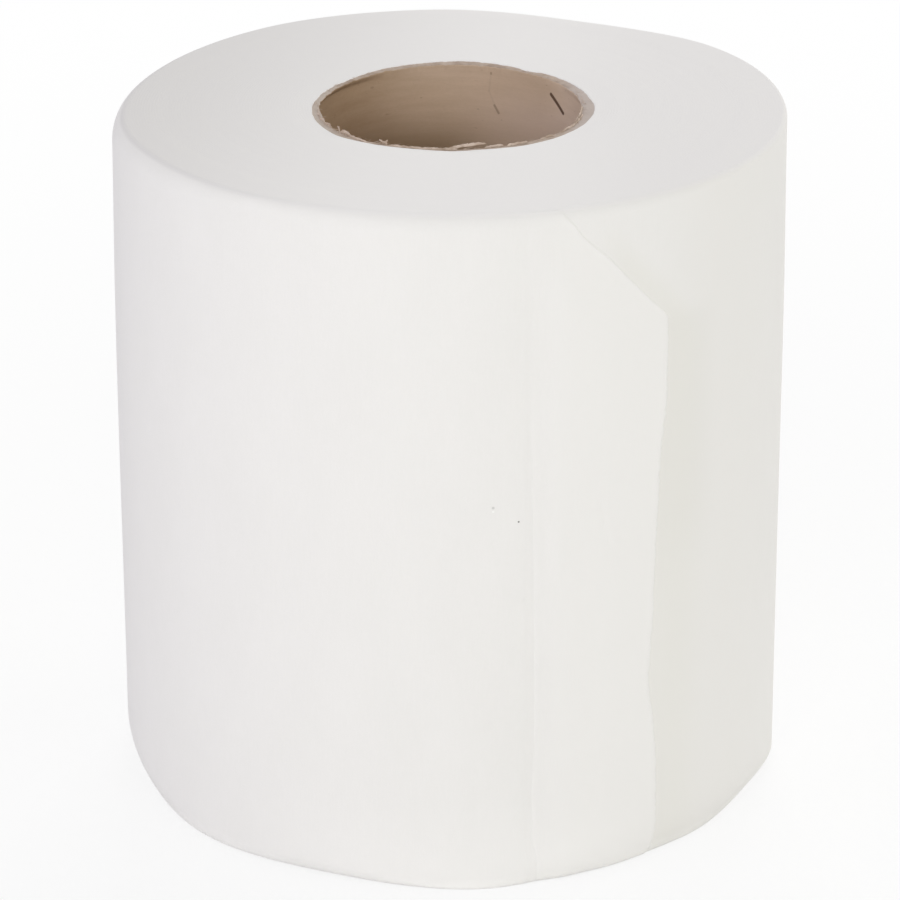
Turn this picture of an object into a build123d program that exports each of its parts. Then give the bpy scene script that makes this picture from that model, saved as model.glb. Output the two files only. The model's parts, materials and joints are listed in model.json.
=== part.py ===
from build123d import *
import math
import os

# A roll of white cleaning paper on a card tube, standing on one end.
# Millimetres, +Z along the roll, origin in the middle of the lower end.
# Angles round the roll are degrees from the front (-Y), growing towards +X.

# Roll of paper
roll_radius = 96.0
roll_height = 199.5
upper_rim_rounding = 2.0
lower_rim_bevel = 0.8

# Card tube
tube_bore_radius = 38.1
tube_wall = 1.8
tube_recess = 0.5
mouth_bevel = 1.0

# Last turn and its loose tail
turn_thickness = 0.4
crease_angle = 13.2
loose_angle = 17.0
belly_angle = 25.0
tail_edge_angle = 38.2
belly_lift = 1.0
tail_edge_lift = 0.9
torn_corner_angle = 18.6
torn_corner_drop = 36.0

# Winding line that shows on both ends, one coarse turn for about sixty of paper
winding_pitch = 9.0
winding_inset = 1.6
winding_line_width = 0.8
winding_line_depth = 0.4

# Places where the soft rims are pressed in: which end, the angle of the middle, the angle
# from there to where the press runs out, how far it goes in on the end face, and how far
# it reaches along the wall
pressed_rims = [
    ("lower", -84.0, 49.0, 5.8, 9.8),
    ("lower", -27.0, 28.0, 3.2, 3.8),
    ("lower", 44.0, 34.0, 3.9, 10.0),
    ("lower", 72.0, 22.0, 4.4, 8.2),
    ("upper", -112.0, 50.0, 3.8, 7.4),
    ("upper", 156.0, 30.0, 3.8, 5.4),
]

tube_radius = tube_bore_radius + tube_wall
under_radius = roll_radius - turn_thickness
tail_reach = roll_radius + max(belly_lift, tail_edge_lift)

# The turned envelope stands this far off the wound wall, so that no two faces coincide
off_the_wall = 0.05


def direction(angle):
    """Unit vector across the roll at an angle from the front."""
    return Vector(math.sin(math.radians(angle)), -math.cos(math.radians(angle)))


def plane_angle(angle):
    """The same angle counted from +X, as arcs take it."""
    return angle - 90.0


def circle_through(first, second, third):
    """Centre and radius of the circle through three points."""
    arc = ThreePointArc(first, second, third)
    return arc.arc_center, arc.radius


def reach(centre, radius, angle):
    """Point where a ray from the roll's axis meets a circle that holds the axis."""
    ray = direction(angle)
    along = centre.dot(ray)
    return ray * (along + math.sqrt(radius**2 - centre.length**2 + along**2))


# The outside of the tail is one arc from the crease over its belly to the free edge
crease_point = direction(crease_angle) * roll_radius
belly_point = direction(belly_angle) * (roll_radius + belly_lift)
edge_point = direction(tail_edge_angle) * (roll_radius + tail_edge_lift)
tail_centre, tail_radius = circle_through(crease_point, belly_point, edge_point)


def wound_outline():
    """Section across the turns: two arcs that lose one thickness in a full turn.

    The arcs run leftwards from the crease round the back to just under the free edge, and
    on under the tail to the crease.
    """
    first_half_end = tail_edge_angle - 180
    second_centre = direction(tail_edge_angle) * (-turn_thickness / 2)
    outline = [
        CenterArc((0, 0), roll_radius, plane_angle(crease_angle), first_half_end - crease_angle),
        CenterArc(second_centre, roll_radius - turn_thickness / 2, plane_angle(first_half_end), -180),
        CenterArc((0, 0), under_radius, plane_angle(tail_edge_angle), crease_angle - tail_edge_angle),
        Line(direction(crease_angle) * under_radius, crease_point),
    ]
    return make_face(outline)


def tail_outline():
    """Section across the tail: bound to the turn below at its root, then loose.

    The loose part is one thickness deep, and the gap under it opens at the free edge.
    """
    inner_radius = tail_radius - turn_thickness
    outer_edge = reach(tail_centre, tail_radius, tail_edge_angle)
    inner_edge = reach(tail_centre, inner_radius, tail_edge_angle)
    gap_top = reach(tail_centre, inner_radius, loose_angle)
    gap_foot = direction(loose_angle) * under_radius
    root_foot = direction(crease_angle) * under_radius
    outline = [
        ThreePointArc(crease_point, belly_point, outer_edge),
        Line(outer_edge, inner_edge),
        ThreePointArc(
            inner_edge,
            reach(tail_centre, inner_radius, (loose_angle + tail_edge_angle) / 2),
            gap_top,
        ),
        Line(gap_top, gap_foot),
        CenterArc((0, 0), under_radius, plane_angle(loose_angle), crease_angle - loose_angle),
        Line(root_foot, crease_point),
    ]
    return make_face(outline)


def soft_envelope(wall_radius):
    """Turned body with the roll's bore, its soft rims and bevelled edges round the tube."""
    width = wall_radius + off_the_wall - tube_radius
    section = Pos(tube_radius + width / 2, roll_height / 2) * Rectangle(width, roll_height)
    section = chamfer(section.vertices().group_by(Axis.X)[0], mouth_bevel)
    section = chamfer(section.vertices().group_by(Axis.X)[-1].sort_by(Axis.Y)[0], lower_rim_bevel)
    section = fillet(section.vertices().group_by(Axis.X)[-1].sort_by(Axis.Y)[-1], upper_rim_rounding)
    return revolve(Plane.XZ * section, Axis.Z)


def torn_corner():
    """Wedge that the tail lacks: all above a slanting line from the rim to its free edge."""
    middle_angle = (torn_corner_angle + tail_edge_angle) / 2
    half_span = roll_radius * math.sin(math.radians(tail_edge_angle - middle_angle))
    beyond = half_span / 2
    slope = torn_corner_drop / (2 * half_span)
    outward = direction(middle_angle)
    wall = Plane(
        origin=outward * under_radius,
        x_dir=direction(middle_angle + 90),
        z_dir=outward,
    )
    wedge = Polygon(
        (-half_span - beyond, roll_height + slope * beyond),
        (half_span + beyond, roll_height - torn_corner_drop - slope * beyond),
        (half_span + beyond, roll_height + slope * beyond),
        align=None,
    )
    return extrude(wall * wedge, half_span, both=True)


def winding_line(end_height, inward):
    """Shallow V in an end face along a spiral of half circles about two centres.

    The radius grows by half a pitch from each half circle to the next, and the two centres
    are half a pitch apart, so the halves meet in line. inward is -1 on the upper end, 1 on
    the lower.
    """
    step = winding_pitch / 2
    first_radius = tube_radius + mouth_bevel + winding_inset
    last_radius = roll_radius - upper_rim_rounding - winding_inset
    halves = int((last_radius - first_radius) / step)
    section = Polygon(
        (-winding_line_width, -inward * winding_line_depth),
        (winding_line_width, -inward * winding_line_depth),
        (0, inward * winding_line_depth),
        align=None,
    )
    rings = []
    for half in range(halves):
        side = 1 if half % 2 == 0 else -1
        centre = -side * step / 2
        start = centre + side * (first_radius + half * step)
        profile = Plane.XZ * (Pos(start, end_height) * section)
        rings.append(revolve(profile, Axis((centre, 0, 0), (0, 0, 1)), 180))
    turn = plane_angle(tail_edge_angle) + 180 * (halves % 2)
    return [Rot(0, 0, turn) * ring for ring in rings]


def pressed_rim(end, angle, half_spread, inset, reach_along):
    """Ring that takes the rim off where it is pressed, deepest at the given angle.

    Its inner face is a cone about an upright axis that stands off the roll's own. On the end
    face the cone's circle is wider than the roll by `wider`, and set back by wider + inset:
    so it cuts in by the inset at the angle and crosses the rim at the half spread each side.
    """
    cosine = math.cos(math.radians(half_spread))
    wider = inset * (inset + 2 * roll_radius * cosine)
    wider /= 2 * (roll_radius * (1 - cosine) - inset)
    cone_radius = roll_radius + wider
    per_height = inset / reach_along
    height = 2 * reach_along
    cone_end = cone_radius - per_height * reach_along
    cone_far = cone_radius + per_height * height
    section = Polygon(
        (cone_end, -reach_along),
        (cone_far, height),
        (cone_far + height, height),
        (cone_far + height, -reach_along),
        align=None,
    )
    ring = revolve(Plane.XZ * section, Axis.Z)
    if end == "upper":
        ring = Pos(0, 0, roll_height) * Rot(180, 0, 0) * ring
    return Pos(direction(angle) * -(wider + inset)) * ring


def make_paper_roll():
    turns = extrude(wound_outline(), roll_height) & soft_envelope(roll_radius)
    tail = extrude(tail_outline(), roll_height) & soft_envelope(tail_reach)
    tail -= torn_corner()
    roll = turns + tail
    for place in pressed_rims:
        roll -= pressed_rim(*place)
    roll -= winding_line(roll_height, -1)
    roll -= winding_line(0, 1)
    return roll


def make_core_tube():
    length = roll_height - 2 * tube_recess
    tube = Cylinder(tube_radius, length) - Cylinder(tube_bore_radius, length)
    return Pos(0, 0, roll_height / 2) * tube


os.makedirs("parts", exist_ok=True)
export_step(make_paper_roll(), "parts/paper_roll.step")
export_step(make_core_tube(), "parts/core_tube.step")
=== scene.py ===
"""A roll of white cleaning paper on its card tube, standing on one end.

Lengths are millimetres and angles are degrees round the roll from the front (-Y), growing
towards +X. Points become metres where they enter a mesh, and object coordinates become
millimetres where they enter a material. Tones are screen colours from 0 to 255.
"""

import json
import math

import bpy
import numpy as np
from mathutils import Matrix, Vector


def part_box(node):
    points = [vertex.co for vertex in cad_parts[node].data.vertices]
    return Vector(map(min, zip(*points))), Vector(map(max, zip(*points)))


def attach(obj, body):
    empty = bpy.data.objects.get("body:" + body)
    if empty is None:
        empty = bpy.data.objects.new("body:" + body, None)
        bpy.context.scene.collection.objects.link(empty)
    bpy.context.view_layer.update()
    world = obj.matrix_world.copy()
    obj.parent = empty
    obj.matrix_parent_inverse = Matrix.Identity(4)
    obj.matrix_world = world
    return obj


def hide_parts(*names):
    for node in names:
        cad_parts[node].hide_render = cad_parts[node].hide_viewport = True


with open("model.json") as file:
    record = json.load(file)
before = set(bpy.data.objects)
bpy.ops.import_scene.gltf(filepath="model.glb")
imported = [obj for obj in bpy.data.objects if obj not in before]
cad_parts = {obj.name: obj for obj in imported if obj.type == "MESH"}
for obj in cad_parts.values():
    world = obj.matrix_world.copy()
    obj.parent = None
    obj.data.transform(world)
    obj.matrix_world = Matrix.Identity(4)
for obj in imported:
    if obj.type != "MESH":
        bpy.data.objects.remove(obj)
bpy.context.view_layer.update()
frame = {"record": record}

METRE = 1000.0

# What the frame gives
paper_low, paper_high = (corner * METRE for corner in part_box("paper_roll"))
tube_low, tube_high = (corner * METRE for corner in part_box("core_tube"))
core_bore = next(m for m in frame["record"]["mounts"] if m["name"] == "core_bore")
ROLL_RADIUS = -paper_low.y
ROLL_HEIGHT = paper_high.z
TUBE_FOOT = tube_low.z
TUBE_RADIUS = tube_high.x
BORE_RADIUS = core_bore["dims"]["r_mm"]

# Rims of the roll: how far in on the end and how far along the wall each is rounded all round,
# and then where the soft rim is pressed in: the angle of the middle, the angle from there to
# where it runs out, how far it goes in and how far it reaches
LOWER_ROUNDING = (0.6, 0.6)
LOWER_PRESSES = [
    (-82, 51, 8.5, 15.0),
    (-25, 33, 5.8, 5.8),
    (20, 14, 1.5, 2.7),
    (41, 42, 5.0, 14.5),
    (70, 24, 5.0, 11.5),
]
UPPER_ROUNDING = (1.4, 1.4)
UPPER_PRESSES = [
    (-111, 61, 4.3, 10.7),
    (-58, 26, 2.2, 4.4),
    (-8, 60, 2.6, 3.9),
    (38, 25, 1.2, 1.4),
    (155, 30, 5.4, 6.8),
    (-170, 30, 1.5, 2.2),
]

# Ends of the roll: a coarse turn of their relief, a fine turn of their finish, how far the
# relief of the lower end keeps off the floor, and the rounding and depth of the mouths' edges
RELIEF_TURN = 1.6
FINE_TURN = 0.8
FOOT_LIFT = 0.12
UPPER_MOUTH_ROUNDING = 0.5
UPPER_MOUTH_DEPTH = 3.5
LOWER_MOUTH_FLARE = 1.0
LOWER_MOUTH_DEPTH = 2.5
# The paper's bore is drawn in by this much, and the card by as much again, so they never touch
CLEARANCE = 0.05

# Last turn and its loose tail
TURN_THICKNESS = 0.2
TAIL_THICKNESS = 0.14
ROOT_ANGLE = 9.0
CREASE_ANGLE = 13.2
EDGE_ANGLE = 38.2
# How far the tail's top stays under the rim, and how high its settled edge lies on the turn below
TAIL_TOP_GAP = 0.35
SETTLED_RISE = 0.06
# How far the crease and the free edge stray from their angles, from the lower end to the upper
CREASE_LINE = [
    (0, 1.1), (8, 1.0), (14, 0.2), (27, -0.1), (42, 0.3), (73, 0.2), (117, -0.1), (175, -0.4),
    (200, -1.0),
]
EDGE_LINE = [
    (0, -1.0), (9, -0.8), (31, -1.1), (44, -1.7), (50, -2.4), (58, -3.1), (63, -2.7), (75, -2.2),
    (104, -1.7), (125, -1.1), (139, 0.0), (163, 0.1), (200, 0.1),
]
# The slanting tear: angle and height from the upper rim down to the free edge
TEAR_LINE = [
    (18.0, 199.2), (20.4, 195.0), (22.0, 191.3), (24.6, 187.2), (26.6, 184.2), (30.4, 177.1),
    (34.4, 170.2), (36.8, 166.3), (38.3, 163.6),
]
# Pinches in the tail: angle and height
PINCHES = [(25.3, 112.9), (25.9, 107.7), (26.7, 102.4)]

# Mouth of the tube: angle and radius of the paper's uneven edge round it, how far that edge
# has sunk below the end of the roll, and how far it rises above it at the back
MOUTH_EDGE = [
    (-180, 41.3), (-168, 40.8), (-150, 40.4), (-140, 39.6), (-130, 38.6), (-100, 38.9), (-90, 39.4),
    (-70, 40.0), (-50, 41.0), (-30, 39.7), (-12, 39.1), (0, 40.0), (14, 39.4), (30, 40.5), (70, 41.0),
    (92, 41.3), (101, 40.9), (120, 41.4), (137, 41.2), (141, 40.8), (145, 38.6), (149, 40.3),
    (156, 40.8), (168, 41.4), (174, 42.1), (180, 41.3),
]
MOUTH_SINK = 0.4
MOUTH_RISE = 0.24
# The card's cut end: how far below the paper's edge its swelling starts, the rounding of its
# edge, the rounding of the lower end, and how far it swells into the bore at each angle
CARD_SWELL_DEPTH = 2.6
CARD_ROUNDING = 0.45
CARD_FOOT_ROUNDING = 0.4
CARD_SWELL = [
    (-180, 0.0), (-152, 0.0), (-135, 0.9), (-112, 1.5), (-98, 1.1), (-90, 1.1), (-80, 1.5),
    (-62, 0.3), (68, 0.2), (84, 1.1), (100, 0.8), (122, 0.0), (180, 0.0),
]
# Plies torn up along the card's cut end: angle, radius, and how high the foot and the crest
# of the strip stand above the end, at points along each strip
TORN_PLIES = [
    [
        (-88, 37.3, 0, 0.15), (-83, 37.5, 0, 0.5), (-80, 37.8, 0, 0.2), (-77, 37.7, 0, 0.6),
        (-73, 38.1, 0, 0.2),
    ],
    [
        (-73, 38.3, 0, 0.1), (-70, 37.9, 0.1, 0.6), (-67, 38.2, 0, 0.2), (-63, 38, 0.1, 0.6),
        (-59, 38.4, 0, 0.2),
    ],
    [(-52, 38.8, 0, 0.25), (-54, 38.2, 0.2, 0.8), (-57.0, 37.4, 0.85, 1.15)],
    [
        (-52.5, 38.6, 0, 0.7), (-50.3, 38.4, 0, 1.0), (-47.8, 38.4, 0, 0.8), (-45, 38.8, 0, 0.3),
        (-36, 39.2, 0, 0.2),
    ],
    [(-26.8, 38.4, 0, 0.3), (-28.4, 38.3, 0.3, 0.65), (-31.0, 38.1, 0.9, 1.1)],
    [(-29.4, 38.4, 0, 0.3), (-28.6, 38.2, 0.3, 0.6), (-27.0, 37.9, 0.9, 1.1)],
    [
        (-26, 38.6, 0, 0.25), (-18, 38.7, 0, 0.4), (-9, 38.6, 0, 0.35), (-1, 38.6, 0, 0.4),
        (3, 38.7, 0, 0.3),
    ],
    [
        (-2, 38.8, 0, 0.35), (1.6, 38.3, 0.3, 0.8), (5, 37.6, 0.45, 1.1),
        (10.2, 37.2, 0.55, 1.25), (15.4, 37.2, 0.9, 1.2),
    ],
    [(14.2, 38.4, 0, 0.2), (17.5, 38.1, 0.1, 0.5), (22.6, 38.2, 0.2, 0.4)],
    [(24, 38.8, 0, 0.3), (29, 38.6, 0, 0.5), (34, 38.8, 0, 0.2)],
    [(40, 38.8, 0, 0.1), (45, 38.6, 0, 0.4), (48, 39.0, 0, 0.2)],
    [
        (53, 38.8, 0, 0.2), (58, 38.5, 0, 0.4), (64, 38.7, 0, 0.25), (72, 38.4, 0, 0.4),
        (80, 38.1, 0, 0.3),
    ],
    [
        (66, 38.2, 0, 0.3), (72, 37.9, 0.1, 0.6), (78, 37.7, 0.2, 0.9), (84, 37.6, 0.2, 0.9),
        (90, 37.5, 0.1, 0.3),
    ],
]
# Thickness of a strip, its lean into the bore for its rise, and the number of loose fibres
PLY_THICKNESS = 0.18
PLY_LEAN = 0.35
LOOSE_FIBRES = 240

# Finish of the paper: how far from an end it starts and ends to turn from the wall's finish to
# the end's, and the specks on the front and a painted highlight, the glint, under one of them:
# angle, height, size, strength, tone
END_BAND = (1.2, 0.3)
SPECKS_AND_PAINTED_GLINT = [
    (7.0, 115.8, 0.55, 0.3, (120, 118, 112)),
    # Painted highlight: the glint just under the grey speck
    (7.0, 114.7, 0.4, 0.8, (252, 252, 250)),
    (11.2, 111.3, 0.36, 0.8, (60, 55, 50)),
]
# Scores and a fleck inside the tube: the angles and heights that each runs through, how far
# it reaches to the sides, its strength and its tone
BORE_MARKS = [
    ([(130.2, 194.75), (121.5, 190.6)], 0.70, 0.9, (84, 58, 44)),
    ([(161.8, 197.7), (162.7, 192.1), (158.5, 185.4)], 0.35, 0.08, (110, 86, 66)),
    ([(161.8, 197.5), (161.8, 197.3)], 0.40, 0.3, (96, 72, 54)),
    ([(160.2, 187.8), (158.2, 185.6)], 0.44, 0.4, (96, 70, 50)),
]

# Lighting: the strength of the even surroundings, and each lamp's name, place in metres, side
# in metres, watts and colour
WORLD_STRENGTH = 0.605
LAMPS = [
    ("front_lamp", (-0.25, -2.19, 0.9), 1.2, 15.0, (0.99, 1.0, 0.93)),
    ("left_lamp", (-2.08, -0.99, 0.8), 1.2, 4.2, (0.66, 0.60, 1.0)),
    ("right_lamp", (1.99, 0.93, 0.8), 1.4, 10.3, (0.99, 1.0, 0.90)),
    ("back_lamp", (0.3, 2.2, 1.3), 1.2, 16.0, (1.0, 1.0, 1.0)),
]

# Floor and camera, in metres but for the lens and the sensor
FLOOR_SIZE = 12
CAMERA_LENS_MM = 193.976
CAMERA_SENSOR_MM = 36.0
CAMERA_PLACE = (0.0, -1.3081, 0.62294)
CAMERA_AIM = (0.0, 0.0, 0.09429)


def direction(angles):
    """Unit vectors across the roll at angles from the front, as x and y arrays."""
    turned = np.radians(angles)
    return np.sin(turned), -np.cos(turned)


def centred(angles):
    """The same angles, from -180 to 180."""
    return (angles + 180) % 360 - 180


def all_round(count):
    """Even angles all round, as a row."""
    return (np.arange(count) * 360 / count)[None, :]


def hump(angles, middle, half_spread):
    """A smooth rise round the roll: (1 + cosine) / 2, 1 in the middle and 0 at the half spread."""
    away = centred(np.asarray(angles, float) - middle)
    return np.where(np.abs(away) < half_spread, (1 + np.cos(np.pi * away / half_spread)) / 2, 0.0)


def mound(first, second, size):
    """A round swelling: e to the minus half the squared distance over the size, 1 on top."""
    return np.exp(-(first**2 + second**2) / (2 * size**2))


def smooth_step(values, start, end):
    """0 before start, 1 after end, and 3t^2 - 2t^3 of the share t between them."""
    share = np.clip((values - start) / (end - start), 0, 1)
    return share * share * (3 - 2 * share)


def along(points, values):
    """A line through listed points, read at the values."""
    xs, ys = zip(*points)
    return np.interp(values, xs, ys)


def value_noise(places, seed):
    """Smooth noise from -1 to 1 along a line: random numbers at whole places, a cosine between."""
    count = 4096
    cells = np.random.default_rng(seed).uniform(-1, 1, count)
    whole = np.floor(places).astype(int)
    share = (1 - np.cos(np.pi * (places - whole))) / 2
    return cells[whole % count] * (1 - share) + cells[(whole + 1) % count] * share


def rim_size(rounding, presses, angles):
    """How far in and along a rim is rounded at each angle: the even rounding plus the presses."""
    inset = np.full_like(angles, rounding[0])
    reach = np.full_like(angles, rounding[1])
    for middle, half_spread, press_in, press_along in presses:
        rise = hump(angles, middle, half_spread)
        inset = inset + press_in * rise
        reach = reach + press_along * rise
    return inset, reach


def rounding_loss(angles, heights):
    """How much radius both rims' roundings take off at a height: a quarter ellipse at each end."""
    lost = np.zeros(np.broadcast(angles, heights).shape)
    for rounding, presses, depth in (
        (LOWER_ROUNDING, LOWER_PRESSES, heights),
        (UPPER_ROUNDING, UPPER_PRESSES, ROLL_HEIGHT - heights),
    ):
        inset, reach = rim_size(rounding, presses, np.broadcast_to(angles, lost.shape))
        share = np.clip(1 - depth / reach, 0, 1)
        lost = lost + inset * (1 - np.sqrt(1 - share**2))
    return lost


def unevenness(angles, heights):
    """How far the soft wall stands off its circle.

    Slow swells under 0.1 mm, a few sines of the angle that drift with height, less a smooth
    step inwards towards the upper end, one on the left towards the lower, and a slight
    flattening on the right. The upper rim swells out a little at the back right.
    """
    turned = np.radians(angles)
    fall = 0.45 * smooth_step(heights, 135, 205) + 0.15 * hump(angles, 95, 60)
    fall = fall + 0.55 * smooth_step(-heights, -130, 10) * hump(angles, -95, 85)
    fall = fall - 0.9 * smooth_step(heights, 130, 200) * hump(angles, 118, 25)
    return -fall + (
        0.030 * np.sin(7 * turned + 0.011 * heights)
        + 0.022 * np.sin(13 * turned - 0.017 * heights + 1.3)
        + 0.016 * np.sin(23 * turned + 0.023 * heights + 0.4)
        + 0.030 * np.sin(0.035 * heights + 2 * turned)
    )


def turn_radius(angles, heights):
    """Radius of the outermost bound turn.

    From the crease leftwards half way round it is a circle about the axis. From there on to
    the free edge its centre stands half a thickness off, so one thickness is lost in the
    turn. At the crease it sinks under the tail by that thickness.
    """
    behind = (np.asarray(angles, float) - EDGE_ANGLE) % 360
    late = ROLL_RADIUS - TURN_THICKNESS / 2 * (1 + np.cos(np.radians(behind)))
    past = behind - 360 + EDGE_ANGLE - CREASE_ANGLE - along(CREASE_LINE, heights)
    early = ROLL_RADIUS - TURN_THICKNESS * smooth_step(past, -1.6, 1.2)
    return np.where(behind < 180, late, early)


def mesh_object(name, points, faces, materials):
    """A smooth-shaded object from an array of points in millimetres and one of quads."""
    mesh = bpy.data.meshes.new(name)
    mesh.vertices.add(len(points))
    mesh.vertices.foreach_set("co", (points / METRE).astype(np.float32).ravel())
    mesh.loops.add(faces.size)
    mesh.loops.foreach_set("vertex_index", faces.astype(np.int32).ravel())
    mesh.polygons.add(len(faces))
    mesh.polygons.foreach_set("loop_start", np.arange(0, faces.size, 4, dtype=np.int32))
    mesh.update(calc_edges=True)
    mesh.shade_smooth()
    for material in materials:
        mesh.materials.append(material)
    piece = bpy.data.objects.new(name, mesh)
    bpy.context.scene.collection.objects.link(piece)
    return piece


def ring_points(radii, angles, heights):
    """Points at a radius, an angle and a height, as rows of x, y and z."""
    across, back = direction(angles)
    flat = np.broadcast(radii, angles, heights).shape
    parts = (radii * across, radii * back, heights)
    return np.stack([np.broadcast_to(part, flat) for part in parts], axis=-1).reshape(-1, 3)


def closed_quads(rows, columns):
    """Quads of a grid whose last row joins its first, and whose last column joins its first."""
    row, column = np.meshgrid(np.arange(rows), np.arange(columns), indexing="ij")
    next_row, next_column = (row + 1) % rows, (column + 1) % columns
    corners = [(row, column), (row, next_column), (next_row, next_column), (next_row, column)]
    return np.stack([r * columns + c for r, c in corners], axis=-1).reshape(-1, 4)


def spread(count, ends=True):
    """Even shares from 0 to 1, as a column; without the ends they are left out."""
    shares = np.linspace(0, 1, count if ends else count + 2)
    return (shares if ends else shares[1:-1])[:, None]


def stacked(rows, angles):
    """The stretches of a section, each a radius and a height, as two full arrays."""
    full = [np.broadcast_arrays(radius, height, angles)[:2] for radius, height in rows]
    return tuple(np.concatenate(parts) for parts in zip(*full))


def end_relief(radii, angles, seed):
    """How the wound ends of the turns stand in and out on an end face.

    The height follows the number of turns, radius over pitch less the angle's share of one
    turn, through slow and quick noise, and it dies away at the mouth and at the rim.
    """
    turns = radii / RELIEF_TURN - angles / 360
    inner = smooth_step(radii, TUBE_RADIUS + 2, TUBE_RADIUS + 9)
    outer = 1 - smooth_step(radii, ROLL_RADIUS - 14, ROLL_RADIUS - 5)
    slow = value_noise(turns / 6, seed)
    quick = value_noise(turns, seed + 1)
    return (0.08 * slow + 0.022 * quick) * inner * outer


def mouth_radius(angles):
    """Radius of the paper's edge round the mouth: the listed points, smoothed and a little ragged."""
    turns = angles + np.linspace(-3, 3, 7)[:, None]
    smooth = along(MOUTH_EDGE, centred(turns)).mean(axis=0, keepdims=True)
    return smooth + 0.10 * value_noise(angles / 4.5, 51) + 0.05 * value_noise(angles / 1.5, 52)


def mouth_height(angles):
    """Height of that edge: sunk below the end of the roll, all but at the back, where it rises."""
    return ROLL_HEIGHT - MOUTH_SINK + (MOUTH_SINK + MOUTH_RISE) * hump(angles, 170, 60)


def wound_paper(material):
    """All the bound turns as one closed ring of soft paper.

    The section runs out along the lower end, up round the lower rim, the wall and the upper
    rim, in along the upper end, over the soft edge of the mouth and down the bore.
    """
    angles = all_round(384)
    low_in, low_up = rim_size(LOWER_ROUNDING, LOWER_PRESSES, angles)
    high_in, high_down = rim_size(UPPER_ROUNDING, UPPER_PRESSES, angles)
    rim_turn = np.pi / 2 * spread(14)
    mouth_turn = np.pi / 2 * spread(12)
    rows = []

    def wall(heights):
        return turn_radius(angles, heights) + unevenness(angles, heights)

    # Lower end
    start = TUBE_RADIUS + LOWER_MOUTH_FLARE
    rim_radius = wall(np.zeros_like(angles)) - low_in
    radii = start + spread(60, ends=False) * (rim_radius - start)
    rows.append((radii, FOOT_LIFT + end_relief(radii, angles, 21)))

    # Lower rim
    turn = rim_turn[::-1]
    heights = low_up * (1 - np.sin(turn))
    rows.append((wall(heights) - low_in * (1 - np.cos(turn)), heights))

    # Wall
    heights = low_up + spread(52, ends=False) * (ROLL_HEIGHT - high_down - low_up)
    rows.append((wall(heights), heights))

    # Upper rim
    heights = ROLL_HEIGHT - high_down * (1 - np.sin(rim_turn))
    rows.append((wall(heights) - high_in * (1 - np.cos(rim_turn)), heights))

    # Upper end, which sinks over the last 7 mm before the mouth
    edge = mouth_radius(angles)
    rim_radius = wall(np.full_like(angles, ROLL_HEIGHT)) - high_in
    radii = rim_radius + spread(84, ends=False) * (edge - rim_radius)
    top = mouth_height(angles)
    sunk = (ROLL_HEIGHT - top) * smooth_step(edge - radii, -7, 0)
    rows.append((radii, ROLL_HEIGHT - sunk + end_relief(radii, angles, 5)))

    # Soft edge of the upper mouth
    across = UPPER_MOUTH_ROUNDING * np.sin(mouth_turn)
    down = UPPER_MOUTH_ROUNDING * (1 - np.cos(mouth_turn))
    rows.append((edge - across, top - down))

    # Bore, and its flare at the lower end
    bore = np.full_like(angles, TUBE_RADIUS - CLEARANCE)
    start = top - UPPER_MOUTH_DEPTH
    rows.append((bore, start + spread(8) * (LOWER_MOUTH_DEPTH - start)))
    turn = mouth_turn[1:-1]
    flare = TUBE_RADIUS + LOWER_MOUTH_FLARE - bore
    rows.append((bore + flare * (1 - np.cos(turn)), LOWER_MOUTH_DEPTH * (1 - np.sin(turn)) + FOOT_LIFT))

    radii, heights = stacked(rows, angles)
    points = ring_points(radii, angles, heights)
    quads = closed_quads(*radii.shape)
    return mesh_object("wound_paper", points, quads, [material])


def tail_lift(angles, heights):
    """How far the outside of the tail stands off the wall at an angle and a height.

    It is sunk in the wall at its root, dips at the crease, swells to a long ridge and a
    belly, sinks a little and curls up along the free edge, most just below the tear. Away
    from the tear it is looser. One small swelling and three pinches lie on it.
    """
    degree = math.radians(1) * ROLL_RADIUS
    crease = CREASE_ANGLE + along(CREASE_LINE, heights)
    edge = EDGE_ANGLE + along(EDGE_LINE, heights)
    past = (angles - crease) * degree
    to_edge = (edge - angles) * degree

    root = -0.16 * smooth_step(-past, 1.2, 6.0)
    groove = -0.24 * smooth_step(-heights, -170, -95) - 0.04
    groove = groove * mound(past - 0.2, 0, 0.8)
    ridge = 0.5 * mound(past - 9.0, 0, 3.4)
    belly = 0.7 * smooth_step(past, 1.0, 16.0) * (1 - 0.85 * smooth_step(past, 20.0, 36.0))
    most = 0.08 + 0.3 * mound(heights - 138, 0, 26.0)
    curl = most * np.exp(-np.clip(to_edge, 0, None) / 3.2)
    drift = 0.12 * np.sin(0.043 * heights + 0.6) * smooth_step(past, 4, 16)
    below_tear = along(TEAR_LINE, angles) - heights
    loose = 0.12 + 0.88 * smooth_step(below_tear, 0, 26)

    swelling = 0.35 * mound((angles - 17.8) * degree, (heights - 101.0) / 2.2, 1.9)
    pinches = sum(
        -0.20 * mound((angles - angle) * degree, (heights - height) / 2.0, 0.7)
        for angle, height in PINCHES
    )
    return root + groove + (ridge + belly + curl + drift) * loose + swelling + pinches


def near_rim(depth, first_turn, last_turn, count):
    """Distances from a rim, closest together at it: a depth times one less the sine of a turn."""
    return depth * (1 - np.sin(np.radians(np.linspace(first_turn, last_turn, count))))


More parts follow.
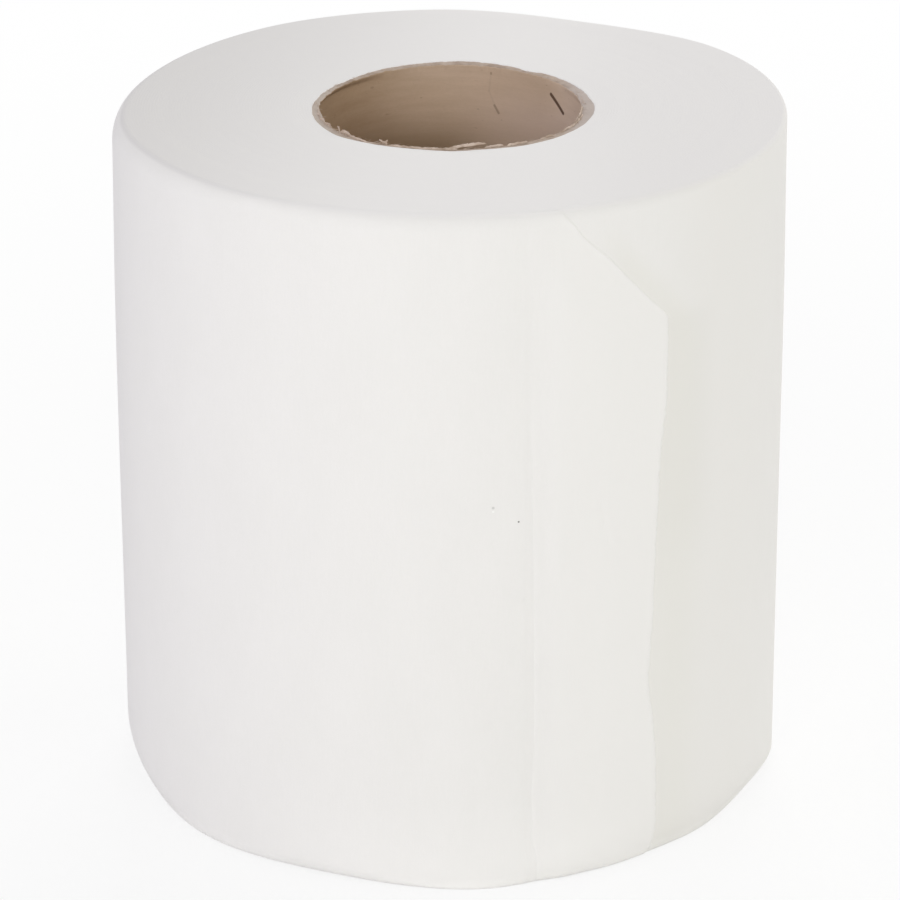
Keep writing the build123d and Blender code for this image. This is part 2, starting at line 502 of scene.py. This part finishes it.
def tail_grid():
    """Angles and heights of the tail's points, then each column's top, share and even angle.

    Columns run from the root to the free edge and rows from the lower end up to the rim or
    the tear, closer together at both. The columns follow the wandering free edge. Noise
    makes the tear ragged, but not the rim.
    """
    columns = 190
    share = np.linspace(0, 1, columns)[None, :]
    even = ROOT_ANGLE + share * (EDGE_ANGLE - ROOT_ANGLE)
    top = np.minimum(along(TEAR_LINE, even), ROLL_HEIGHT - TAIL_TOP_GAP)
    ragged = 0.16 * value_noise(even * 2.3, 31) + 0.12 * value_noise(even * 6.1, 32)
    top = top + ragged * smooth_step(even, 18.5, 20)

    low_zone = near_rim(14.5, 79, 0, 22)
    high_zone = near_rim(4.0, 0, 82, 16)
    low_rows = np.broadcast_to(low_zone[:, None], (len(low_zone), columns))
    middle_rows = low_zone[-1] + spread(162, ends=False) * (top - high_zone[0] - low_zone[-1])
    heights = np.concatenate([low_rows, middle_rows, top - high_zone[:, None]])

    last = heights[:, -1:]
    fray = 0.12 * value_noise(last / 0.9, 47) + 0.08 * value_noise(last / 0.35, 48)
    stray = along(EDGE_LINE, heights) + fray * smooth_step(share, 0.97, 1.0)
    angles = even + stray * smooth_step(share, 0.2, 1.0)
    return angles, heights, top, share, even


def loose_tail(material):
    """The end of the strip, a thin closed sheet from its root in the wall to the free edge.

    The outside is the wall plus the lift, and the inside lies one thickness in. The last
    1.2 mm along the free edge and 0.7 mm along the tear bend down to the turn below, and the
    free edge thins out over its last 0.3 mm.
    """
    angles, heights, top, share, even = tail_grid()
    settled = smooth_step(share, 0.975, 1.0) * np.ones_like(heights)
    settled = np.maximum(settled, smooth_step(heights - top, -0.7, 0) * smooth_step(even, 18, 20))
    lift = tail_lift(angles, heights)
    outer = ROLL_RADIUS + unevenness(angles, heights)
    outer = outer + lift + settled * (SETTLED_RISE - TURN_THICKNESS - lift)
    outer = outer - rounding_loss(angles, heights)
    thinned = np.clip(1 - np.clip((share - 0.994) / 0.006, 0, 1) ** 2, 0.1, 1)
    thickness = TAIL_THICKNESS * np.sqrt(thinned)
    outside = ring_points(outer, angles, heights)
    inside = ring_points(outer - thickness, angles, heights)

    rows, columns = heights.shape
    count = rows * columns
    row, column = np.meshgrid(np.arange(rows - 1), np.arange(columns - 1), indexing="ij")
    first = (row * columns + column).ravel()
    front = np.stack([first, first + 1, first + columns + 1, first + columns], axis=-1)
    back = count + front[:, ::-1]
    border = np.concatenate([
        np.arange(columns),
        np.arange(1, rows) * columns + columns - 1,
        count - 2 - np.arange(columns - 1),
        np.arange(rows - 2, 0, -1) * columns,
    ])
    after = np.roll(border, -1)
    rim = np.stack([after, border, border + count, after + count], axis=-1)
    quads = np.concatenate([front, back, rim])
    return mesh_object("loose_tail", np.concatenate([outside, inside]), quads, [material])


def card_tube(board, cut_board):
    """The card tube: a closed ring whose upper edge is swollen, ragged and uneven in height.

    The section runs up the inside, over the upper edge, down the outside and back along the
    lower edge. The cut end swells into the bore and spreads out to the ring of paper. Its
    raggedness is noise of the angle, most towards the bore.
    """
    angles = all_round(1080)
    rim = mouth_height(angles)
    rough = 0.16 * value_noise(angles / 1.7, 61) + 0.12 * value_noise(angles / 0.7, 62)
    outside = TUBE_RADIUS - 2 * CLEARANCE
    foot = TUBE_FOOT + CARD_FOOT_ROUNDING
    bore_rows, swell_rows, edge_rows = 30, 8, 13
    rows = []

    # Inside
    swell_start = rim - CARD_SWELL_DEPTH
    rows.append((BORE_RADIUS, foot + spread(bore_rows) ** 0.6 * (swell_start - foot)))

    # Swelling below the cut end
    shares = spread(swell_rows, ends=False)
    inner = BORE_RADIUS - along(CARD_SWELL, centred(angles)) + 0.6 * rough
    swollen = BORE_RADIUS + (inner - BORE_RADIUS) * smooth_step(shares, 0.1, 1.0)
    rows.append((swollen, swell_start + (CARD_SWELL_DEPTH - CARD_ROUNDING) * shares))

    # Cut end
    turn = np.pi * spread(edge_rows)
    outer = mouth_radius(angles) - CLEARANCE
    reach = (1 - np.cos(turn)) / 2
    bite = rough * (0.35 + 0.65 * np.clip(np.cos(turn), 0, 1))
    crest = (CARD_ROUNDING + bite) * np.sin(turn) ** 0.6
    shoulder = rim - CARD_ROUNDING - 0.1
    rows.append((inner + (outer - inner) * reach, shoulder + crest))

    # Outside
    shares = spread(8)
    narrowed = outer + (outside - outer) * smooth_step(shares, 0.0, 0.12)
    rows.append((narrowed, shoulder - shares * (shoulder - foot)))

    # Lower edge
    turn = np.pi * spread(7, ends=False)
    radii = BORE_RADIUS + (outside - BORE_RADIUS) / 2 * (1 + np.cos(turn))
    rows.append((radii, foot - CARD_FOOT_ROUNDING * np.sin(turn)))

    radii, heights = stacked(rows, angles)
    points = ring_points(radii, angles, heights)
    quads = closed_quads(*radii.shape)[:, ::-1]
    tube = mesh_object("card_tube", points, quads, [board, cut_board])
    row_of_quad = np.arange(len(quads)) // angles.size
    first_edge_row = bore_rows + swell_rows
    on_edge = (row_of_quad > first_edge_row) & (row_of_quad < first_edge_row + edge_rows)
    tube.data.polygons.foreach_set("material_index", on_edge.astype(np.int32))
    return tube


def ribbons(angles, radii, foot, crest, thickness, lean):
    """Closed ribbons, one for each row of the arrays, through the points of its columns.

    The section is an ellipse of eight points, from the foot up to the crest and one
    thickness deep, whose top leans into the bore. Three quads close each end.
    """
    corners = 8
    around = -(np.arange(corners) + 0.5) * 2 * np.pi / corners
    raised = (crest - foot)[..., None] / 2 * (1 + np.cos(around))
    heights = foot[..., None] + raised
    radii = radii[..., None] + thickness[..., None] / 2 * np.sin(around) - lean * raised
    points = ring_points(radii, angles[..., None], heights)

    count, columns = angles.shape
    parts = np.arange(count), np.arange(columns - 1), np.arange(corners)
    strip, column, corner = np.meshgrid(*parts, indexing="ij")
    first = (strip * columns + column) * corners
    after = (corner + 1) % corners
    sides = [first + corner, first + corner + corners, first + after + corners, first + after]
    sides = np.stack(sides, axis=-1).reshape(-1, 4)
    start = np.arange(count)[:, None] * columns * corners
    end = start + (columns - 1) * corners
    cap = np.array([[0, 1, 2, 7], [7, 2, 3, 6], [6, 3, 4, 5]])
    caps = [start[..., None] + cap, end[..., None] + cap[:, ::-1]]
    return points, np.concatenate([sides] + [c.reshape(-1, 4) for c in caps])


def torn_strips():
    """The listed strips: their crests are made ragged by noise, and they die away at both ends."""
    shares = np.linspace(0, 1, 48)
    listed = [np.array(ply, float).T for ply in TORN_PLIES]
    angles, radii, foot, crest = (
        np.stack([np.interp(shares, np.linspace(0, 1, ply.shape[1]), ply[part]) for ply in listed])
        for part in range(4)
    )
    rim = mouth_height(angles)
    ragged = 0.14 * value_noise(angles * 1.1, 71) + 0.10 * value_noise(angles * 2.7, 72)
    ends = np.sqrt(np.clip(1 - (2 * shares - 1) ** 8, 0.02, 1))
    foot = rim - 0.15 + foot
    crest = foot + 0.1 + np.clip((rim + crest + ragged - foot) * ends, 0.02, None)
    thickness = PLY_THICKNESS * ends * np.ones_like(angles)
    radii = radii + 0.08 * value_noise(angles * 0.9, 73)
    return ribbons(angles, radii, foot, crest, thickness, PLY_LEAN)


def loose_fibres():
    """Short fine ribbons at random places and slants on the cut end, most at the front."""
    random = np.random.default_rng(77)
    middle = random.normal(0, 75, (LOOSE_FIBRES, 1))
    length = random.uniform(0.6, 2.6, (LOOSE_FIBRES, 1))
    slant = random.uniform(-0.9, 0.9, (LOOSE_FIBRES, 1))
    run = np.linspace(-0.5, 0.5, 7)[None, :]
    width = random.uniform(0.05, 0.13, (LOOSE_FIBRES, 1)) * np.sqrt(1 - (1.9 * run) ** 2)
    angles = middle + np.degrees(run * length * np.cos(slant) / BORE_RADIUS)
    inner = BORE_RADIUS - along(CARD_SWELL, centred(middle))
    radii = inner + random.uniform(-0.15, 1.4, middle.shape) + run * length * np.sin(slant)
    foot = mouth_height(angles) - 0.1 + random.uniform(0, 0.35, middle.shape) * (1 + 2 * run)
    return ribbons(angles, radii, foot, foot + width, width, 0.0)


def torn_plies(material):
    """Strips of ply torn up along the card's cut end, and loose fibres on it, as one piece."""
    strips, strip_quads = torn_strips()
    fibres, fibre_quads = loose_fibres()
    points = np.concatenate([strips, fibres])
    quads = np.concatenate([strip_quads, fibre_quads + len(strips)])
    return mesh_object("torn_plies", points, quads, [material])


class Value:
    """A number that varies over a surface: a socket whose sums and products are Math nodes."""

    def __init__(self, nodes, socket):
        self.nodes = nodes
        self.socket = socket

    def _math(self, operation, first, second=0.0):
        return self.nodes.value("ShaderNodeMath", {"operation": operation}, {0: first, 1: second})

    def __add__(self, other):
        return self._math("ADD", self, other)

    __radd__ = __add__

    def __sub__(self, other):
        return self._math("SUBTRACT", self, other)

    def __rsub__(self, other):
        return self._math("SUBTRACT", other, self)

    def __mul__(self, other):
        return self._math("MULTIPLY", self, other)

    __rmul__ = __mul__

    def __truediv__(self, other):
        return self._math("DIVIDE", self, other)

    def __pow__(self, other):
        return self._math("POWER", self, other)

    def __abs__(self):
        return self._math("ABSOLUTE", self)

    def least(self, other):
        return self._math("MINIMUM", self, other)

    def most(self, other):
        return self._math("MAXIMUM", self, other)

    def sine(self):
        return self._math("SINE", self)

    def between(self, start, end):
        """0 at start, 1 at end, clamped, and smooth at both."""
        settings = {"interpolation_type": "SMOOTHSTEP"}
        inputs = {"Value": self, "From Min": start, "From Max": end}
        return self.nodes.value("ShaderNodeMapRange", settings, inputs)

    def within(self, start, full, fades, gone):
        """1 from full to fades, and 0 before start and after gone."""
        return self.between(start, full) * self.between(gone, fades)


class Nodes:
    """The nodes of a material or of the world."""

    def __init__(self, tree):
        self.tree = tree

    def node(self, kind, settings=None, inputs=None):
        """A node of a kind, with its settings, then its inputs as numbers or links."""
        made = self.tree.nodes.new(kind)
        for setting, choice in (settings or {}).items():
            setattr(made, setting, choice)
        for socket, value in (inputs or {}).items():
            self.feed(made.inputs[socket], value)
        return made

    def feed(self, socket, value):
        """Links a socket to another, or sets it to a constant."""
        if isinstance(value, Value):
            value = value.socket
        if isinstance(value, bpy.types.NodeSocket):
            self.tree.links.new(value, socket)
        else:
            socket.default_value = value

    def value(self, kind, settings, inputs, output=0):
        return Value(self, self.node(kind, settings, inputs).outputs[output])

    def seen(self):
        """1 for rays from the camera, off gloss or through glass, and 0 for those that light."""
        rays = self.node("ShaderNodeLightPath").outputs
        camera, gloss, glass = (
            Value(self, rays[name])
            for name in ("Is Camera Ray", "Is Glossy Ray", "Is Transmission Ray")
        )
        return camera.most(gloss).most(glass)

    def show(self, share, first, second, end):
        """Puts a blend of two shaders, by a share, at the end of the tree."""
        blend = self.node("ShaderNodeMixShader", {}, {0: share, 1: first, 2: second})
        self.feed(self.tree.nodes[end].inputs["Surface"], blend.outputs[0])


class Finish(Nodes):
    """A material with one Principled shader, and the place on the piece that it varies with."""

    def __init__(self, name):
        self.material = bpy.data.materials.new(name)
        self.material.use_nodes = True
        super().__init__(self.material.node_tree)
        self.shader = self.tree.nodes["Principled BSDF"]
        place = self.node("ShaderNodeTexCoord").outputs["Object"]
        self.place = self.vector("SCALE", {0: place, "Scale": METRE})
        parts = self.node("ShaderNodeSeparateXYZ", {}, {"Vector": self.place})
        self.x, self.y, self.z = (Value(self, parts.outputs[axis]) for axis in "XYZ")

    def angle(self):
        """Degrees round the roll from the front, from -180 to 180."""
        inputs = {0: self.x, 1: self.y * -1.0}
        return self.value("ShaderNodeMath", {"operation": "ARCTAN2"}, inputs) * math.degrees(1)

    def radius(self):
        """Distance from the roll's axis."""
        return (self.x * self.x + self.y * self.y) ** 0.5

    def vector(self, operation, inputs):
        return self.node("ShaderNodeVectorMath", {"operation": operation}, inputs).outputs[0]

    def noise(self, size, stretch, detail, roughness):
        """Noise from 0 to 1 whose swells are about a size across, longer where it is stretched."""
        scaled = self.vector("MULTIPLY", {0: self.place, 1: [1 / (size * s) for s in stretch]})
        inputs = {"Vector": scaled, "Scale": 1.0, "Detail": detail, "Roughness": roughness}
        return self.value("ShaderNodeTexNoise", {"normalize": True}, inputs)

    def mix(self, share, first, second):
        """A colour between two tones or sockets, by a share."""
        colours = [linear(*c) if isinstance(c, tuple) else c for c in (first, second)]
        settings = {"data_type": "RGBA", "clamp_factor": True}
        return self.node("ShaderNodeMix", settings, {0: share, 6: colours[0], 7: colours[1]}).outputs[2]

    def layered(self, colour, layers):
        """A colour with tones laid over it in turn, each by its share."""
        for share, tone in layers:
            colour = self.mix(share, colour, tone)
        return colour

    def bump(self, height, distance, under=None):
        """A normal from a height of 0 to 1 that stands for a distance in millimetres."""
        inputs = {"Height": height, "Distance": distance / METRE, "Strength": 1.0}
        if under is not None:
            inputs["Normal"] = under
        return self.node("ShaderNodeBump", {}, inputs).outputs[0]

    def close_to(self, angle, height, radius, size):
        """1 at the point at an angle, a height and a radius, and 0 from a size away."""
        across, back = direction(angle)
        inputs = {0: self.place, 1: (float(radius * across), float(radius * back), height)}
        away = self.value("ShaderNodeVectorMath", {"operation": "DISTANCE"}, inputs, "Value")
        return away.between(size, size * 0.4)

    def finished(self, colour, normal, roughness, gloss):
        """Feeds the shader and gives the material."""
        inputs = self.shader.inputs
        self.feed(inputs["Base Color"], colour)
        self.feed(inputs["Normal"], normal)
        self.feed(inputs["Roughness"], roughness)
        self.feed(inputs["Specular IOR Level"], gloss)
        return self.material


def linear(red, green, blue):
    """Linear colour of a tone."""
    shares = [level / 255 for level in (red, green, blue)]
    return [s / 12.92 if s <= 0.04045 else ((s + 0.055) / 1.055) ** 2.4 for s in shares] + [1.0]


def tissue_wall(finish, mottle, angle, painted_light_tone, start, full, shade):
    """Colour of the paper's wall, mottled between two tones.

    From a start to a full angle on the right it takes a painted tone, darker as painted shade on
    the bound turns and lighter as painted light on the tail, which fades out again further round.
    It takes painted shade, by a share, just right of the tail's free edge and above its tear, and
    painted light near the lower rim and, more faintly, low across the middle, against the shade
    there.
    """
    z = finish.z
    # Painted shade just right of the tail's free edge
    free_edge_shade = angle.within(30, 37, 43, 52) * z.within(80, 110, 160, 168)
    (first_angle, first_height), (last_angle, last_height) = TEAR_LINE[0], TEAR_LINE[-1]
    slope = (first_height - last_height) / (last_angle - first_angle)
    above_tear = z - first_height + (angle - first_angle) * slope
    # Painted shade in a band just above the tear
    above = above_tear.between(14, 2) * angle.within(23, 32, 40, 50)
    # Painted light near the lower rim and low across the middle, against the shade there
    lower = z.between(30, 3) * finish.x.within(-60, -20, 35, 60)
    lower = (z.between(6, 0.5) * 0.7).most(lower * 0.3)
    wall = finish.mix(mottle, (237.6, 235.7, 233.6), (240.0, 238.0, 236.2))
    return finish.layered(wall, [
        # Painted tone on the right: painted shade on the bound turns, painted light on the tail
        (angle.within(start, full, 50, 75), painted_light_tone),
        (free_edge_shade * shade, (231, 229, 225.5)),
        (above * shade, (233, 231, 224.5)),
        (lower, (250, 248.5, 246.5)),
    ])


def tissue_top(finish):
    """Colour of the paper's upper end, with painted shade: greyer to the left, and a little to the
    right.
    """
    # Painted shade: greyer to the left and a little to the right, where less light falls on the end
    leftwards = finish.x - 0.2 * finish.y
    top = finish.mix(leftwards.between(-105, 10), (226, 223.5, 222.5), (244, 241.8, 241))
    return finish.mix(finish.x.between(20, 66), top, (240, 237.6, 237))


def white_tissue(name, painted_light_tone, start, full, shade):
    """Soft white paper: matt, faintly mottled, with fine upright crepe and felted fibres.

    The wall has its own mottled tones and painted light and shade, which tissue_wall gives, and
    the upper end has painted shade. The fine turns show in the bump of both ends, and the front
    has two specks and a painted highlight, the glint.
    """
    finish = Finish(name)
    clouds = finish.noise(14.0, (1, 1, 2.2), 2.0, 0.5)
    fibres = finish.noise(0.5, (1, 1, 1.4), 3.0, 0.65)
    crepe = finish.noise(0.7, (1, 1, 7.0), 2.0, 0.5)
    mottle = (0.4 * clouds + 0.35 * fibres + 0.25 * crepe).between(0.3, 0.7)
    angle = finish.angle()
    band_start, band_end = END_BAND
    half = ROLL_HEIGHT / 2
    on_end = abs(finish.z - half).between(half - band_start, half - band_end)
    on_top = finish.z.between(ROLL_HEIGHT - band_start, ROLL_HEIGHT - band_end)

    wall = tissue_wall(finish, mottle, angle, painted_light_tone, start, full, shade)
    colour = finish.mix(on_top, wall, tissue_top(finish))
    # Specks of dirt, and the painted highlight under the grey one
    colour = finish.layered(colour, [
        (finish.close_to(spot_angle, height, ROLL_RADIUS, size) * strength, tone)
        for spot_angle, height, size, strength, tone in SPECKS_AND_PAINTED_GLINT
    ])

    turns = ((finish.radius() / FINE_TURN - angle / 360) * (2 * math.pi)).sine()
    normal = finish.bump(fibres * 0.6 + crepe * 0.4, 0.05)
    normal = finish.bump(turns * on_end, 0.009, under=normal)
    return finish.finished(colour, normal, roughness=0.93, gloss=0.15)


def straight_runs(finish, angle, points, width):
    """For each straight run of a mark in the bore, 1 along it and 0 from a width away.

    A place's distance from a run is worked out on the bore laid flat: along the run past its
    nearer end, and across it.
    """
    degree = math.radians(1) * BORE_RADIUS
    arc = angle * degree
    runs = []
    for (first_angle, first_height), (last_angle, last_height) in zip(points, points[1:]):
        across, up = (last_angle - first_angle) * degree, last_height - first_height
        length = math.hypot(across, up)
        across, up = across / length, up / length
        from_arc, from_height = arc - first_angle * degree, finish.z - first_height
        ahead = from_arc * across + from_height * up
        aside = from_arc * up - from_height * across
        beyond = ahead - ahead.most(0.0).least(length)
        away = (beyond * beyond + aside * aside) ** 0.5
        runs.append(away.between(width, width * 0.6))
    return runs


def brown_board():
    """Unbleached board inside the tube: streaks round the bore, fibres, flecks and scores.

    It is painted with light and shade: brown on the left and paler on the right, where more light
    falls, with painted shade deep down on the left and painted light near the mouth on the right,
    most at the far right. It is also a little darker in a band right of the middle and towards
    the mouth.
    """
    finish = Finish("brown_board")
    x, z = finish.x, finish.z
    streaks = finish.noise(2.2, (9, 9, 1), 3.0, 0.6)
    fibres = finish.noise(0.45, (3, 3, 1), 3.0, 0.7)
    clouds = finish.noise(14.0, (1.5, 1.5, 1), 2.0, 0.5)
    flecks = finish.noise(0.9, (2.0, 2.0, 1), 1.0, 0.3).between(0.74, 0.80)
    mottle = (0.4 * streaks + 0.25 * fibres + 0.35 * clouds).between(0.3, 0.7)
    brown = finish.mix(mottle, (168, 141, 114), (182, 156, 129))
    pale = finish.mix(mottle, (200, 176, 153), (215, 191, 170))
    # Painted light paler to the right and near the mouth on the right, painted shade deep down on the
    # left
    rightwards = x.between(-6, 30)
    colour = finish.layered(finish.mix(x.between(-33, -3), brown, pale), [
        (x.within(8, 20, 24, 33) * 0.12, (150, 128, 104)),
        (z.between(187, 172) * (1 - rightwards) * 0.8, (150, 126, 100)),
        (z.between(197, 184) * rightwards * 0.55, (230, 209, 196)),
        (z.between(188, 198) * 0.12, (150, 128, 104)),
        (z.between(180, 190) * x.between(26, 36) * 0.3, (246, 228, 216)),
        (flecks * 0.25, (120, 96, 75)),
    ])
    angle = finish.angle()
    for points, width, strength, tone in BORE_MARKS:
        runs = straight_runs(finish, angle, points, width)
        colour = finish.layered(colour, [(run * strength, tone) for run in runs])
    normal = finish.bump(fibres * 0.5 + streaks * 0.3, 0.07)
    return finish.finished(colour, normal, roughness=0.85, gloss=0.25)


def cut_edge():
    """Cut end of the board: its plies and torn fibres, greyer on the left and the right."""
    finish = Finish("cut_edge")
    fibres = finish.noise(0.5, (1.6, 1.6, 1), 3.0, 0.7)
    clouds = finish.noise(4.0, (1, 1, 1), 2.0, 0.5)
    colour = finish.mix(clouds.between(0.35, 0.65), (172, 153, 139), (192, 175, 162))
    colour = finish.layered(colour, [
        (finish.x.between(-28, -36) * 0.8, (199, 187, 177)),
        (finish.x.between(30, 37) * 0.75, (197, 186, 181)),
        (fibres.between(0.60, 0.72) * 0.4, (132, 111, 92)),
    ])
    return finish.finished(colour, finish.bump(fibres, 0.12), roughness=0.92, gloss=0.15)


def torn_ply():
    """Torn ply of the board: pale straw fibres, browner in places."""
    finish = Finish("torn_ply")
    fibres = finish.noise(0.35, (2.0, 2.0, 1), 3.0, 0.7)
    clouds = finish.noise(3.0, (1, 1, 1), 2.0, 0.5)
    colour = finish.mix(clouds.between(0.35, 0.65), (186, 166, 149), (214, 197, 184))
    colour = finish.mix(fibres.between(0.56, 0.72) * 0.5, colour, (150, 128, 108))
    return finish.finished(colour, finish.bump(fibres, 0.08), roughness=0.92, gloss=0.15)


def pale_floor():
    """Pale matt floor that the camera sees nearly white, with the roll's soft shadow kept.

    The share of plain white grows from none under the roll, so the tube stays dark inside.
    """
    finish = Finish("pale_floor")
    finish.feed(finish.shader.inputs["Base Color"], [0.96, 0.96, 0.96, 1.0])
    finish.feed(finish.shader.inputs["Roughness"], 0.9)
    white = finish.node("ShaderNodeEmission").outputs[0]
    out = finish.radius()
    share = finish.seen() * (0.78 * out.between(60, 92) + 0.22 * out.between(150, 900))
    finish.show(share, finish.shader.outputs[0], white, "Material Output")
    return finish.material


def stage():
    """The floor under the roll."""
    bpy.ops.mesh.primitive_plane_add(size=FLOOR_SIZE, location=(0, 0, 0))
    floor = bpy.context.object
    floor.name = "floor"
    floor.data.materials.append(pale_floor())


def placed(name, data, place, aim):
    """An object at a place in metres, turned to look at another."""
    holder = bpy.data.objects.new(name, data)
    holder.location = place
    holder.rotation_euler = (Vector(aim) - Vector(place)).to_track_quat("-Z", "Y").to_euler()
    bpy.context.scene.collection.objects.link(holder)
    return holder


def lighting():
    """Even white surroundings, and soft square lamps in front, left, right and behind."""
    scene = bpy.context.scene
    scene.view_settings.view_transform = "Standard"
    scene.world = bpy.data.worlds.new("surroundings")
    scene.world.use_nodes = True
    world = Nodes(scene.world.node_tree)
    sky, white = (
        world.node("ShaderNodeBackground", {}, {"Color": (1, 1, 1, 1), "Strength": strength}).outputs[0]
        for strength in (WORLD_STRENGTH, 1.0)
    )
    world.show(world.seen(), sky, white, "World Output")
    for name, place, size, watts, colour in LAMPS:
        light = bpy.data.lights.new(name, "AREA")
        light.size = size
        light.energy = watts
        light.color = colour
        placed(name, light, place, (0, 0, ROLL_HEIGHT / 2 / METRE))


def camera():
    """The camera that sees the roll as the photograph does."""
    lens = bpy.data.cameras.new("camera")
    lens.lens = CAMERA_LENS_MM
    lens.sensor_width = CAMERA_SENSOR_MM
    bpy.context.scene.camera = placed("camera", lens, CAMERA_PLACE, CAMERA_AIM)


def dress():
    """Makes the pieces and hangs them on the frame."""
    # Two copies of one paper: the bound turns with painted shade from 33 degrees round and by the
    # tail's edge and tear, the loose tail with painted light from 15 degrees round
    wound = white_tissue("wound_tissue", (237.0, 234.8, 232.2), 33, 50, 0.5)
    loose = white_tissue("loose_tissue", (241.4, 239.4, 237.4), 15, 21, 0.0)
    for piece, node, slot in (
        (wound_paper(wound), "paper_roll", "paper"),
        (loose_tail(loose), "paper_roll", "paper"),
        (card_tube(brown_board(), cut_edge()), "core_tube", "card"),
        (torn_plies(torn_ply()), "core_tube", "card"),
    ):
        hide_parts(node)
        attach(piece, "root")


camera()
dress()
stage()
lighting()
